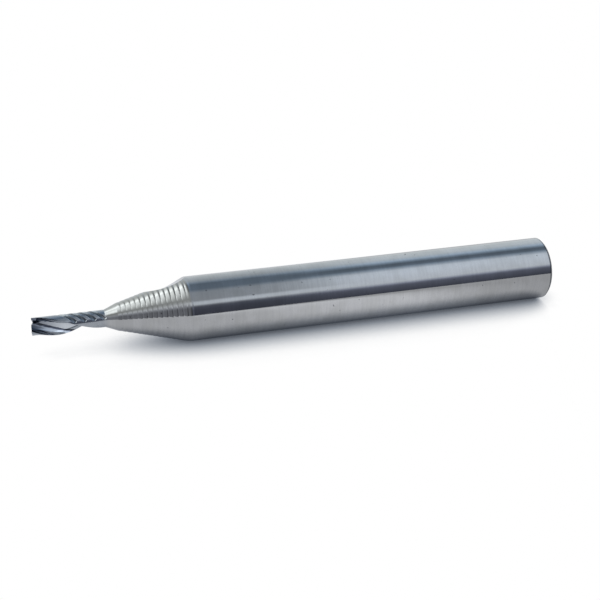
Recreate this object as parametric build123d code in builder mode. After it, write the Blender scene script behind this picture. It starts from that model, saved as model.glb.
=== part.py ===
from build123d import *
import os
from math import atan2, cos, degrees, dist, log, pi, radians, sin, tan

# Single-flute spiral router bit, ground from one round blank. Sizes are in millimetres.
# It stands on its shank end: the axis is +Z, the shank end face is at z = 0 and the tip is at the top.

# Shank
shank_diameter = 6.0
shank_length = 35.9
end_chamfer = 0.2
shoulder_radius = 2.0

# Cone between the shank and the neck, with the beads that the turning passes leave
cone_length = 6.5
cone_tip_diameter = 2.44
bead_pitch = 0.47
bead_height = 0.022

# Smooth lead-in between the beads and the neck
lead_in_length = 1.0

# Cutting part, and the back of its land, which is ground smaller than the cutting circle
neck_length = 6.6
cutting_diameter = 2.0
back_diameter = 1.6
helix_angle = 26.0
edge_azimuth_at_tip = -115.0

# Land: a narrow margin at the cutting edge, then a relief that falls to the back
margin_width = 0.12
margin_relief = 12.0
relief_span = 50.0
relief_crown = 0.04

# Flute: a round hollow, one arc from the cutting edge to the heel
flute_radius = 0.83
rake_angle = 38.0

# Where the grinding wheel leaves the flute, the floor lifts out over the cone
run_out_start = 0.5
run_out_radius = 7.1
run_out_widening = 0.25
run_out_length = 5.9

# Shallow scoop that the wheel leaves on the cone where it lifts clear
scoop_azimuth = 0.0
scoop_height = 1.8
scoop_depth = 0.36
scoop_radius = 6.0
scoop_width = 4.0
scoop_lean = 12.0

# Diagonal wheel marks on the back of the land, beside the cone, each rounded at both ends
mark_count = 4
mark_pitch = 0.87
mark_depth = 0.08
mark_radius = 0.28
mark_angle = 40.0
mark_azimuth = -86.0
mark_sweep = 90.0
mark_first_height = 0.12

# End of the tip: relief behind the end edge, a dish towards the centre and a lower heel
end_relief = 3.0
end_dish = 3.0
heel_relief = 12.0

# Gash: a V that leaves the tip at its rim and runs down into the flute
gash_rim_azimuth = 60.0
gash_course_azimuth = -90.0
gash_depth = 0.27
gash_slope = 42.0
gash_angle = 44.0

# How finely the winding surfaces follow their lines, and how far the cutters reach past the part
land_steps = 16
flute_steps = 26
clearance = 0.6
cutter_reach = 3 * cutting_diameter

# Values that follow from the sizes above
shank_radius = shank_diameter / 2
cutting_radius = cutting_diameter / 2
back_radius = back_diameter / 2
cone_tip_radius = cone_tip_diameter / 2
cone_end = shank_length + cone_length
neck_start = cone_end + lead_in_length
tip = neck_start + neck_length
taper = (shank_radius - cone_tip_radius) / cone_length
lead = pi * cutting_diameter / tan(radians(helix_angle))
land_root = back_radius / 2
run_out_top = neck_start + run_out_start
flute_top = tip + clearance
flute_bottom = run_out_top - run_out_length


def polar(radius, angle):
    """A point of a cross-section, from its distance to the axis and its angle in degrees."""
    return (radius * cos(radians(angle)), radius * sin(radians(angle)))


def edge_azimuth(z):
    """Where the cutting edge points at a height: it winds right-handed, and slower as the cone widens."""
    turned = 360 * (tip - max(z, neck_start)) / lead
    below = max(neck_start - z, 0)
    on_cone = tan(radians(helix_angle)) / taper * log(1 + taper * below / cutting_radius)
    return edge_azimuth_at_tip - turned - degrees(on_cone)


# Turned blank: the shank with its end chamfer, the beaded cone and the smooth lead-in
cone_slant = atan2(shank_radius - cone_tip_radius, cone_length)
shoulder_reach = shoulder_radius * tan(cone_slant / 2)
shoulder_low = (shank_radius, shank_length - shoulder_reach)
shoulder_high = (
    shank_radius - shoulder_reach * sin(cone_slant),
    shank_length + shoulder_reach * cos(cone_slant),
)
bead_end = (cone_tip_radius, cone_end)
bead_count = round(dist(shoulder_high, bead_end) / bead_pitch)


def along_cone(share, height=0.0):
    """A point of the cone's profile, from the shoulder (0) to the lead-in (1), raised off its line."""
    x = shoulder_high[0] + share * (bead_end[0] - shoulder_high[0])
    z = shoulder_high[1] + share * (bead_end[1] - shoulder_high[1])
    return (x + height * cos(cone_slant), z + height * sin(cone_slant))


with BuildPart() as blank:
    with BuildSketch(Plane.XZ):
        with BuildLine():
            Polyline(
                (0, tip),
                (0, 0),
                (shank_radius - end_chamfer, 0),
                (shank_radius, end_chamfer),
                shoulder_low,
            )
            TangentArc(shoulder_low, shoulder_high, tangent=(0, 1))
            for bead in range(bead_count):
                Spline(
                    along_cone(bead / bead_count),
                    along_cone((bead + 0.5) / bead_count, bead_height),
                    along_cone((bead + 1) / bead_count),
                )
            Polyline(bead_end, (back_radius, neck_start), (back_radius, tip), (0, tip))
        make_face()
    revolve(axis=Axis.Z)

# Land: a tooth on the round neck, highest at the cutting edge, that winds up from the lead-in to the tip
# Its root lies inside the neck, and its corner stands a little ahead of the edge for the flute to trim.
land_base = neck_start - lead_in_length / 2
margin_drop = margin_width * tan(radians(margin_relief))
margin_end = polar(cutting_radius - margin_drop, -degrees(margin_width / cutting_radius))
margin_start = (cutting_radius + margin_drop / 2, margin_width / 2)
relief_end = polar(back_radius - relief_crown, -relief_span)
relief_middle = polar((cutting_radius + back_radius) / 2 - relief_crown, -relief_span / 2)

with BuildSketch() as land_section:
    with BuildLine():
        Line(margin_start, margin_end)
        ThreePointArc(margin_end, relief_middle, relief_end)
        Polyline(relief_end, polar(land_root, -relief_span), (land_root, 0), margin_start)
    make_face()

with BuildPart() as land:
    for step in range(land_steps + 1):
        z = land_base + (tip - land_base) * step / land_steps
        with BuildSketch(Plane.XY.offset(z).rotated((0, 0, edge_azimuth(z)))):
            add(land_section.sketch)
    loft()

# Flute: what the grinding wheel clears, from above the tip down to where it leaves the cone
# Each section is a round nose with straight sides, turned to the cutting edge at its height.
flute_centre = Vector(cutting_radius, 0) + Vector(*polar(flute_radius, 90 + rake_angle))
outward = flute_centre.normalized()

with BuildPart() as flute:
    for step in range(flute_steps + 1):
        z = flute_top - (flute_top - flute_bottom) * step / flute_steps
        leaving = max(run_out_top - z, 0)
        lift = leaving ** 2 / (2 * run_out_radius)
        size = 1 + run_out_widening * lift
        with BuildSketch(Plane.XY.offset(z).rotated((0, 0, edge_azimuth(z)))):
            with BuildLine():
                centre = size * flute_centre + lift * outward
                reach = size * flute_radius * outward
                side = reach.rotate(Axis.Z, 90)
                ThreePointArc(centre + side, centre - reach, centre - side)
                Polyline(centre - side, centre - side + reach, centre + side + reach, centre + side)
            make_face()
    loft()

# Exit scoop: the rim of the wheel, set into the side of the cone just above the shoulder
scoop_floor = shank_radius - taper * scoop_height
scoop_place = (
    Location((0, 0, shank_length + scoop_height), (0, 0, scoop_azimuth))
    * Location((scoop_floor, 0, 0), (0, -degrees(cone_slant), 0))
    * Location((scoop_radius - scoop_depth, 0, 0), (scoop_lean, 0, 0))
)
with BuildPart() as exit_scoop:
    with Locations(scoop_place):
        Cylinder(scoop_radius, scoop_width, rotation=(90, 0, 0))

# Wheel mark: a short groove that climbs round the back of the land like the lay of a rope
mark_lead = 2 * pi * back_radius / tan(radians(mark_angle))
with BuildPart() as wheel_mark:
    with BuildLine():
        mark_path = Helix(mark_lead, mark_lead * mark_sweep / 360, back_radius + mark_radius - mark_depth)
    with BuildSketch(Plane(mark_path @ 0, z_dir=mark_path % 0)):
        Circle(mark_radius)
    sweep(path=mark_path, is_frenet=True)
    with Locations(mark_path @ 0, mark_path @ 1):
        Sphere(mark_radius)

mark_places = [
    Location((0, 0, neck_start + mark_first_height + mark * mark_pitch), (0, 0, mark_azimuth))
    for mark in range(mark_count)
]

# End cuts: one plane for the dish and the relief behind the end edge, one for the heel, and the gash
end_frame = Plane.XY.offset(tip).rotated((0, 0, edge_azimuth(tip)))
dish_slope = tan(radians(end_dish))
dish_plane = Plane(
    end_frame.from_local_coords((cutting_radius, 0, 0)),
    z_dir=end_frame.from_local_coords(Vector(-dish_slope, -tan(radians(end_relief)), 1)) - end_frame.origin,
)
heel_plane = Plane(
    end_frame.from_local_coords((0, 0, -dish_slope * cutting_radius)),
    z_dir=end_frame.from_local_coords(Vector(-tan(radians(heel_relief)), 0, 1)) - end_frame.origin,
)
gash_rim = Vector(*polar(back_radius, gash_rim_azimuth), tip - gash_depth)
gash_course = Vector(*polar(cos(radians(gash_slope)), gash_course_azimuth), -sin(radians(gash_slope)))
gash_plane = Plane(gash_rim, x_dir=Vector(*polar(1, gash_course_azimuth + 90)), z_dir=gash_course)
gash_spread = cutter_reach * tan(radians(gash_angle / 2))

with BuildPart() as end_cuts:
    for plane in (dish_plane, heel_plane):
        with BuildSketch(plane):
            Rectangle(cutter_reach, cutter_reach)
        extrude(amount=cutter_reach)
    with BuildSketch(gash_plane):
        Polygon((0, 0), (gash_spread, cutter_reach), (-gash_spread, cutter_reach), align=None)
    extrude(amount=cutting_diameter, both=True)

with BuildPart() as router_bit:
    add(blank.part)
    add(land.part)
    add(flute.part, mode=Mode.SUBTRACT)
    with Locations(mark_places):
        add(wheel_mark.part, mode=Mode.SUBTRACT)
    add(end_cuts.part, mode=Mode.SUBTRACT)
    add(exit_scoop.part, mode=Mode.SUBTRACT)

router_bit.part.label = "router_bit"
os.makedirs("parts", exist_ok=True)
export_step(router_bit.part, "parts/router_bit.step")
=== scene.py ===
"""Single-flute spiral router bit in ground carbide, on a white table in soft light."""
import math

import bpy
from mathutils import Matrix, Vector


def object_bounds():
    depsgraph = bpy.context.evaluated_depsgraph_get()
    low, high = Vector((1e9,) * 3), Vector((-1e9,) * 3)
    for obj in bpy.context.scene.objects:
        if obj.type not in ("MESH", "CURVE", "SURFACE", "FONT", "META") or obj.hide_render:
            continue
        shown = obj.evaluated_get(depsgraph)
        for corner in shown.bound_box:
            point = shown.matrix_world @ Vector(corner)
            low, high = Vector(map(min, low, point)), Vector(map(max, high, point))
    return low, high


# The frame is in metres, and most sizes here are written in millimetres
MM = 0.001
WHITE = (1.0, 1.0, 1.0)

# Camera: how far it stands from the axis of the bit, how high, and where on the bit it aims
camera_distance = 108.6 * MM
camera_height = 53.53 * MM
aim_height = 24.97 * MM
aim_offset = -0.43 * MM
camera_roll = math.radians(6.745)
field_of_view = math.radians(28.42)
nearest_seen = 1 * MM
farthest_seen = 100

# Table: the white surface that the bit lies on. The frame stands the bit on its shank end, so here the
# table is upright, faces this way round the bit, and stands a hair clear of the shank's side.
table_azimuth = math.radians(-27.5)
table_size = 3.0
table_gap = 0.02 * MM

# How far round itself a point of the table looks for things that take its light, and how finely
shade_reach = 30 * MM
shade_samples = 16

# The table's colour by the share of the light that reaches it, from under the bit to the open
table_shades = [
    (0.0, (0.030, 0.034, 0.042)),
    (0.22, (0.200, 0.223, 0.260)),
    (0.5, (0.570, 0.590, 0.620)),
    (0.75, WHITE),
]

# The same colour as the metal mirrors it, which is deeper close to the bit
mirrored_shades = [
    (0.0, (0.010, 0.012, 0.015)),
    (0.22, (0.105, 0.120, 0.145)),
    (0.5, (0.410, 0.430, 0.460)),
    (0.77, WHITE),
]

# How brightly the metal mirrors the table, by the height on the bit, and in which tint
table_glints = [
    (0 * MM, 0.64),
    (6 * MM, 0.77),
    (13 * MM, 1.04),
    (17 * MM, 1.02),
    (24 * MM, 0.92),
    (30 * MM, 0.79),
    (36 * MM, 0.76),
]
table_tint = (0.965, 0.990, 1.040)

# Room: the brightness of its light in rings round the bit, from straight below to high above.
# Each stop is an angle round the bit in degrees, where 0 is the camera's side, and the brightness
# there. A ring starts a quarter turn before that side.
ring_start = -90
ground_light = [(-90, 0.15), (270, 0.15)]
floor_light = [
    (-90, 0.45), (-42, 0.40), (-29, 0.05), (-8, 0.06), (0, 0.60), (8, 1.50), (24, 1.90),
    (50, 1.80), (70, 0.50), (100, 0.70), (200, 0.85), (225, 0.50), (270, 0.45),
]
low_light = [
    (-90, 0.55), (-42, 0.45), (-29, 0.09), (-6, 0.18), (-1, 0.28), (4, 0.64), (9, 0.95),
    (40, 1.08), (52, 1.04), (61, 0.60), (70, 0.25), (80, 0.20), (87, 0.38), (98, 0.80),
    (118, 0.98), (200, 0.88), (225, 0.50), (270, 0.55),
]
level_light = [
    (-90, 0.50), (-42, 0.45), (-29, 0.08), (-8, 0.10), (1, 0.14), (5, 0.30), (10, 0.90),
    (17, 0.92), (24, 0.48), (54, 0.46), (66, 0.26), (90, 0.24), (104, 0.54), (124, 0.76),
    (150, 0.90), (200, 0.90), (225, 0.48), (270, 0.50),
]
even_light = [
    (-90, 0.50), (-42, 0.45), (-29, 0.15), (-8, 0.17), (0, 0.25), (7, 0.36), (13, 0.64),
    (18, 0.66), (28, 0.46), (55, 0.44), (68, 0.31), (86, 0.38), (100, 0.66), (124, 0.78),
    (150, 0.90), (200, 0.90), (225, 0.50), (270, 0.50),
]
high_light = [
    (-90, 0.60), (-42, 0.50), (-29, 0.25), (-2, 0.23), (6, 0.38), (17, 0.78), (24, 0.60),
    (32, 0.44), (42, 0.68), (58, 1.20), (70, 1.55), (82, 1.70), (88, 2.30), (96, 2.10),
    (108, 1.15), (120, 0.88), (180, 0.82), (225, 0.60), (270, 0.60),
]
top_light = [
    (-90, 0.60), (-42, 0.50), (-29, 0.30), (-2, 0.30), (8, 0.46), (20, 0.48), (36, 0.38),
    (48, 1.50), (58, 2.30), (96, 2.30), (110, 0.80), (180, 0.80), (270, 0.60),
]

# The rings above the lowest, and the elevations between which each takes over from the one below it.
# The neck mirrors the even ring, and the level ring comes back above it for the shank's shoulder.
rings = [
    (floor_light, -60, -50),
    (low_light, -38, -31),
    (level_light, -19, -12),
    (even_light, -7.5, -4.5),
    (level_light, -2, 0),
    (high_light, 4, 12),
    (top_light, 30, 38),
]

# The light's tint by the same angle, which is bluest in the two dark parts of the lower rings
room_tints = [
    (-90, (0.93, 1.0, 1.05)),
    (-42, (0.93, 1.0, 1.05)),
    (-29, (0.90, 1.0, 1.34)),
    (-2, (0.90, 1.0, 1.34)),
    (8, (0.92, 1.0, 1.11)),
    (54, (0.89, 1.0, 1.14)),
    (68, (0.76, 1.0, 1.30)),
    (92, (0.76, 1.0, 1.30)),
    (110, (0.89, 1.0, 1.10)),
    (150, (0.93, 1.0, 1.03)),
    (270, (0.93, 1.0, 1.05)),
]

# Plainer tints for the light from above, and the elevations between which they take over
high_tints = [
    (-90, (0.94, 1.0, 1.02)),
    (-29, (0.95, 1.0, 1.12)),
    (2, (0.95, 1.0, 1.12)),
    (30, (0.95, 1.0, 1.00)),
    (180, (0.94, 1.0, 0.98)),
    (270, (0.94, 1.0, 1.02)),
]
high_tints_start = -2
high_tints_end = 4

# Neck and cutting part: the length, the radius of the back, and how far up the wheel marks reach
neck_length = 6.6 * MM
back_radius = 0.80 * MM
marks_length = 3.5 * MM

# Carbide on the shank and the cone, and in its slightly darker patches
shank_colour = (0.465, 0.465, 0.465)
patch_colour = (0.432, 0.432, 0.428)

# Carbide on the neck, by the distance from the axis: from the flute's floor over painted shade in the
# grooves of the wheel marks to the outside of the land, and the same above the marks, without that shade
flute_colour = (0.640, 0.665, 0.690)
groove_painted_shade = (0.120, 0.138, 0.158)
land_colour = (0.385, 0.405, 0.430)
marked_colours = [
    (0.64 * MM, flute_colour),
    (0.70 * MM, groove_painted_shade),
    (0.76 * MM, groove_painted_shade),
    (0.79 * MM, land_colour),
]
unmarked_colours = [
    (0.72 * MM, flute_colour),
    (0.79 * MM, land_colour),
]
colour_blend = 0.3 * MM

# Painted shade over the last stretch to the tip: how much darker the carbide is made there, deep in the
# flute and slightly on the land
tip_stretch = 3.0 * MM
tip_painted_shades = [
    (0.74 * MM, (0.13, 0.15, 0.20)),
    (0.80 * MM, (0.78, 0.80, 0.83)),
]

# Painted shade on the end chamfer: a dark rim that stands in for the dark reflection there, by the height on
# the bit
rim_height = 0.32 * MM
rim_painted_shade = (0.16, 0.17, 0.20)
rim_painted_shades = [
    (0.01 * MM, WHITE),
    (0.03 * MM, rim_painted_shade),
    (0.24 * MM, rim_painted_shade),
    (0.30 * MM, WHITE),
]

# Fine grinding lines across the axis, the darker patches, and small dark pits. Each is a noise with so
# much fine detail, which fades from one look to the other between the two values given here.
line_spacing = 0.22 * MM
line_length = 3.0 * MM
line_height = 0.001 * MM
line_shade = (0.95, 0.95, 0.955)
line_fade = (0.40, 0.60)
line_detail = 3.0
patch_size = 1.5 * MM
patch_fade = (0.42, 0.58)
patch_detail = 4.0
pit_spacing = 0.42 * MM
pit_shade = (0.45, 0.45, 0.46)
pit_fade = (0.75, 0.79)
pit_detail = 1.0

# Roughness: of the flute and the darker patches, of the rest of the shank, and of the land, which the
# flute's polish turns into between two distances from the axis
polish = 0.04
haze = 0.085
land_haze = 0.17
land_haze_start = 0.64 * MM
land_haze_end = 0.72 * MM

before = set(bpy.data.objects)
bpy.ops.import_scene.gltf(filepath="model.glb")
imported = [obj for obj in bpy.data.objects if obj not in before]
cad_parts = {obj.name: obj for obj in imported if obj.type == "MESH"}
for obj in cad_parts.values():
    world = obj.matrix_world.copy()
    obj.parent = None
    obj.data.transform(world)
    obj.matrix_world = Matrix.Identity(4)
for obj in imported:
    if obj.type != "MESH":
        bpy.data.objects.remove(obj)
cad_low, cad_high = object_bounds()
shank_radius = (cad_high.x - cad_low.x) / 2
bit_length = cad_high.z - cad_low.z
neck_start = bit_length - neck_length
marks_end = neck_start + marks_length


def new_material(name):
    """An empty node material and its node tree."""
    material = bpy.data.materials.new(name)
    material.use_nodes = True
    tree = material.node_tree
    tree.nodes.clear()
    return material, tree


def scaled(colour, share):
    """A colour made brighter or darker."""
    return tuple(share * part for part in colour)


def share_between(tree, value, start, end, low=0.0, high=1.0):
    """A number that goes from low to high while the value goes from start to end."""
    share = tree.nodes.new("ShaderNodeMapRange")
    share.inputs["From Min"].default_value = start
    share.inputs["From Max"].default_value = end
    share.inputs["To Min"].default_value = low
    share.inputs["To Max"].default_value = high
    tree.links.new(value, share.inputs["Value"])
    return share.outputs["Result"]


def colour_ramp(tree, share, stops):
    """The colour at a share from 0 to 1, from stops that are shares and colours."""
    ramp = tree.nodes.new("ShaderNodeValToRGB")
    elements = ramp.color_ramp.elements
    elements.remove(elements[1])
    for index, (position, colour) in enumerate(stops):
        stop = elements[0] if index == 0 else elements.new(position)
        stop.position = position
        stop.color = (*colour, 1)
    tree.links.new(share, ramp.inputs["Fac"])
    return ramp.outputs["Color"]


def colour_over(tree, distance, length, stops):
    """The colour at a distance along a length, from stops that are distances and colours."""
    share = share_between(tree, distance, 0.0, length)
    return colour_ramp(tree, share, [(place / length, colour) for place, colour in stops])


def mixed(tree, share, first, second, blend="MIX"):
    """The first colour turned into the second, or blended with it otherwise, as far as a share says."""
    mix = tree.nodes.new("ShaderNodeMix")
    mix.data_type = "RGBA"
    mix.blend_type = blend
    tree.links.new(share, mix.inputs["Factor"])
    tree.links.new(first, mix.inputs["A"])
    tree.links.new(second, mix.inputs["B"])
    return mix.outputs["Result"]


def product(tree, first, second):
    """One colour times another."""
    times = tree.nodes.new("ShaderNodeVectorMath")
    times.operation = "MULTIPLY"
    tree.links.new(first, times.inputs[0])
    tree.links.new(second, times.inputs[1])
    return times.outputs["Vector"]


def mixed_shader(tree, share, first, second):
    """The first shader turning into the second by a share."""
    mix = tree.nodes.new("ShaderNodeMixShader")
    tree.links.new(share, mix.inputs[0])
    tree.links.new(first, mix.inputs[1])
    tree.links.new(second, mix.inputs[2])
    return mix.outputs["Shader"]


def camera():
    """The camera at the photograph's viewing angle, with the bit's axis across the picture."""
    place = Vector((0, -camera_distance, camera_height))
    target = Vector((aim_offset, 0, aim_height))
    forward = (target - place).normalized()
    right = Vector((0, 0, -1))
    right = (right - right.dot(forward) * forward).normalized()
    down = forward.cross(right)
    turned_right = math.cos(camera_roll) * right + math.sin(camera_roll) * down
    turned_down = math.cos(camera_roll) * down - math.sin(camera_roll) * right
    axes = Matrix((turned_right, -turned_down, -forward)).transposed()
    lens = bpy.data.cameras.new("camera")
    lens.sensor_fit = "HORIZONTAL"
    lens.angle = field_of_view
    lens.clip_start = nearest_seen
    lens.clip_end = farthest_seen
    holder = bpy.data.objects.new("camera", lens)
    holder.matrix_world = Matrix.Translation(place) @ axes.to_4x4()
    bpy.context.collection.objects.link(holder)
    bpy.context.scene.camera = holder


def table_material():
    """White paper that darkens softly where the bit keeps the light off it, and is clear from behind."""
    material, tree = new_material("white_table")
    nodes, links = tree.nodes, tree.links
    arriving = nodes.new("ShaderNodeAmbientOcclusion")
    arriving.samples = shade_samples
    arriving.inputs["Distance"].default_value = shade_reach
    place = nodes.new("ShaderNodeNewGeometry")
    split = nodes.new("ShaderNodeSeparateXYZ")
    links.new(place.outputs["Position"], split.inputs["Vector"])
    path = nodes.new("ShaderNodeLightPath")
    in_metal = path.outputs["Is Glossy Ray"]

    plain = colour_ramp(tree, arriving.outputs["AO"], table_shades)
    mirrored = colour_ramp(tree, arriving.outputs["AO"], mirrored_shades)
    glint_stops = [(height, scaled(table_tint, share)) for height, share in table_glints]
    glints = colour_over(tree, split.outputs["Z"], bit_length, glint_stops)
    seen_white = nodes.new("ShaderNodeEmission")
    links.new(mixed(tree, in_metal, plain, product(tree, mirrored, glints)), seen_white.inputs["Color"])

    # The camera and the metal see the shaded white as it is, and all other rays meet plain paper
    paper = nodes.new("ShaderNodeBsdfDiffuse")
    clear = nodes.new("ShaderNodeBsdfTransparent")
    seen = nodes.new("ShaderNodeMath")
    seen.operation = "MAXIMUM"
    links.new(path.outputs["Is Camera Ray"], seen.inputs[0])
    links.new(in_metal, seen.inputs[1])
    front = mixed_shader(tree, seen.outputs["Value"], paper.outputs["BSDF"], seen_white.outputs["Emission"])
    surface = mixed_shader(tree, place.outputs["Backfacing"], front, clear.outputs["BSDF"])
    out = nodes.new("ShaderNodeOutputMaterial")
    links.new(surface, out.inputs["Surface"])
    return material


def table():
    """The one-sided white table beside the shank."""
    mesh = bpy.data.meshes.new("table")
    side = table_size / 2
    corners = [(-side, -side, 0), (side, -side, 0), (side, side, 0), (-side, side, 0)]
    mesh.from_pydata(corners, [], [(0, 1, 2, 3)])
    mesh.materials.append(table_material())
    plane = bpy.data.objects.new("table", mesh)
    facing = Vector((math.cos(table_azimuth), math.sin(table_azimuth), 0))
    turn = Vector((0, 0, 1)).rotation_difference(facing)
    place = -facing * (shank_radius + table_gap)
    plane.matrix_world = Matrix.Translation(place) @ turn.to_matrix().to_4x4()
    bpy.context.collection.objects.link(plane)


def ring_of_light(tree, direction, stops):
    """A colour that changes with the angle round the bit, from stops that are angles and colours."""
    around = tree.nodes.new("ShaderNodeTexGradient")
    around.gradient_type = "RADIAL"
    tree.links.new(direction, around.inputs["Vector"])
    turns = [((angle - ring_start) / 360, colour) for angle, colour in stops]
    return colour_ramp(tree, around.outputs["Fac"], turns)


def above_elevation(tree, height, start, end):
    """How far a direction, by its height, has risen from one elevation in degrees to another."""
    share = tree.nodes.new("ShaderNodeMapRange")
    share.interpolation_type = "SMOOTHSTEP"
    share.inputs["From Min"].default_value = math.sin(math.radians(start))
    share.inputs["From Max"].default_value = math.sin(math.radians(end))
    tree.links.new(height, share.inputs["Value"])
    return share.outputs["Result"]


def grey_stops(stops):
    """The stops of a ring, with each brightness as a grey."""
    return [(angle, scaled(WHITE, brightness)) for angle, brightness in stops]


def room_light():
    """A studio room whose light changes round the bit and with height, white where the camera sees it."""
    world = bpy.data.worlds.new("room")
    bpy.context.scene.world = world
    world.use_nodes = True
    tree = world.node_tree
    nodes, links = tree.nodes, tree.links
    nodes.clear()
    direction = nodes.new("ShaderNodeTexCoord").outputs["Generated"]
    split = nodes.new("ShaderNodeSeparateXYZ")
    links.new(direction, split.inputs["Vector"])
    height = split.outputs["Z"]

    colour = ring_of_light(tree, direction, grey_stops(ground_light))
    for ring, start, end in rings:
        above = above_elevation(tree, height, start, end)
        colour = mixed(tree, above, colour, ring_of_light(tree, direction, grey_stops(ring)))
    above = above_elevation(tree, height, high_tints_start, high_tints_end)
    low_tints = ring_of_light(tree, direction, room_tints)
    tints = mixed(tree, above, low_tints, ring_of_light(tree, direction, high_tints))

    light = nodes.new("ShaderNodeBackground")
    links.new(product(tree, colour, tints), light.inputs["Color"])
    white = nodes.new("ShaderNodeBackground")
    white.inputs["Color"].default_value = (*WHITE, 1)
    path = nodes.new("ShaderNodeLightPath")
    in_camera = path.outputs["Is Camera Ray"]
    room = mixed_shader(tree, in_camera, light.outputs["Background"], white.outputs["Background"])
    out = nodes.new("ShaderNodeOutputWorld")
    links.new(room, out.inputs["Surface"])


def noise(tree, place, spacing, detail):
    """A noise over the surface, with its spacing along each axis."""
    stretch = tree.nodes.new("ShaderNodeMapping")
    stretch.inputs["Scale"].default_value = tuple(1 / step for step in spacing)
    tree.links.new(place, stretch.inputs["Vector"])
    texture = tree.nodes.new("ShaderNodeTexNoise")
    texture.inputs["Scale"].default_value = 1.0
    texture.inputs["Detail"].default_value = detail
    tree.links.new(stretch.outputs["Vector"], texture.inputs["Vector"])
    return texture.outputs["Fac"]


def carbide():
    """Fine-ground tungsten carbide: a grey mirror with faint grinding lines, bluer at the cutting part, and
    painted shade in the wheel marks, towards the tip and on the end chamfer.
    """
    material, tree = new_material("ground_carbide")
    nodes, links = tree.nodes, tree.links
    place = nodes.new("ShaderNodeTexCoord").outputs["Object"]
    split = nodes.new("ShaderNodeSeparateXYZ")
    links.new(place, split.inputs["Vector"])
    height = split.outputs["Z"]
    across = nodes.new("ShaderNodeCombineXYZ")
    links.new(split.outputs["X"], across.inputs["X"])
    links.new(split.outputs["Y"], across.inputs["Y"])
    from_axis = nodes.new("ShaderNodeVectorMath")
    from_axis.operation = "LENGTH"
    links.new(across.outputs["Vector"], from_axis.inputs[0])
    radius = from_axis.outputs["Value"]

    on_neck = share_between(tree, height, neck_start - colour_blend, neck_start + colour_blend)
    above_marks = share_between(tree, height, marks_end, marks_end + colour_blend)
    at_tip = share_between(tree, height, bit_length - tip_stretch, bit_length)
    lines = noise(tree, place, (line_length, line_length, line_spacing), line_detail)
    patches = noise(tree, place, (patch_size, patch_size, patch_size), patch_detail)
    pits = noise(tree, place, (pit_spacing, pit_spacing, pit_spacing), pit_detail)

    off_patches = share_between(tree, patches, *patch_fade)
    shank = colour_ramp(tree, off_patches, [(0.0, patch_colour), (1.0, shank_colour)])
    # The marked neck carries painted shade in the grooves of the wheel marks
    marked = colour_over(tree, radius, back_radius, marked_colours)
    unmarked = colour_over(tree, radius, back_radius, unmarked_colours)
    neck = mixed(tree, above_marks, marked, unmarked)
    line_tones = colour_ramp(tree, share_between(tree, lines, *line_fade), [(0.0, line_shade), (1.0, WHITE)])
    pit_tones = colour_ramp(tree, share_between(tree, pits, *pit_fade), [(0.0, WHITE), (1.0, pit_shade)])
    # Painted shade towards the tip, deep in the flute
    tip_painted_shade = colour_over(tree, radius, back_radius, tip_painted_shades)
    # Painted shade on the rim of the end chamfer
    rim_painted_tones = colour_over(tree, height, rim_height, rim_painted_shades)
    colour = mixed(tree, on_neck, shank, neck)
    colour = product(tree, colour, line_tones)
    colour = product(tree, colour, pit_tones)
    colour = mixed(tree, at_tip, colour, tip_painted_shade, "MULTIPLY")
    colour = product(tree, colour, rim_painted_tones)

    roughness = nodes.new("ShaderNodeMix")
    links.new(on_neck, roughness.inputs["Factor"])
    links.new(share_between(tree, patches, *patch_fade, polish, haze), roughness.inputs["A"])
    neck_roughness = share_between(tree, radius, land_haze_start, land_haze_end, polish, land_haze)
    links.new(neck_roughness, roughness.inputs["B"])
    relief = nodes.new("ShaderNodeBump")
    relief.inputs["Distance"].default_value = line_height
    links.new(lines, relief.inputs["Height"])

    shader = nodes.new("ShaderNodeBsdfPrincipled")
    shader.inputs["Metallic"].default_value = 1.0
    links.new(colour, shader.inputs["Base Color"])
    links.new(roughness.outputs["Result"], shader.inputs["Roughness"])
    links.new(relief.outputs["Normal"], shader.inputs["Normal"])
    out = nodes.new("ShaderNodeOutputMaterial")
    links.new(shader.outputs["BSDF"], out.inputs["Surface"])
    return material


bpy.context.scene.view_settings.view_transform = "Standard"
camera()
table()
room_light()
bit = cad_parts["router_bit"]
bit.data.materials.clear()
bit.data.materials.append(carbide())
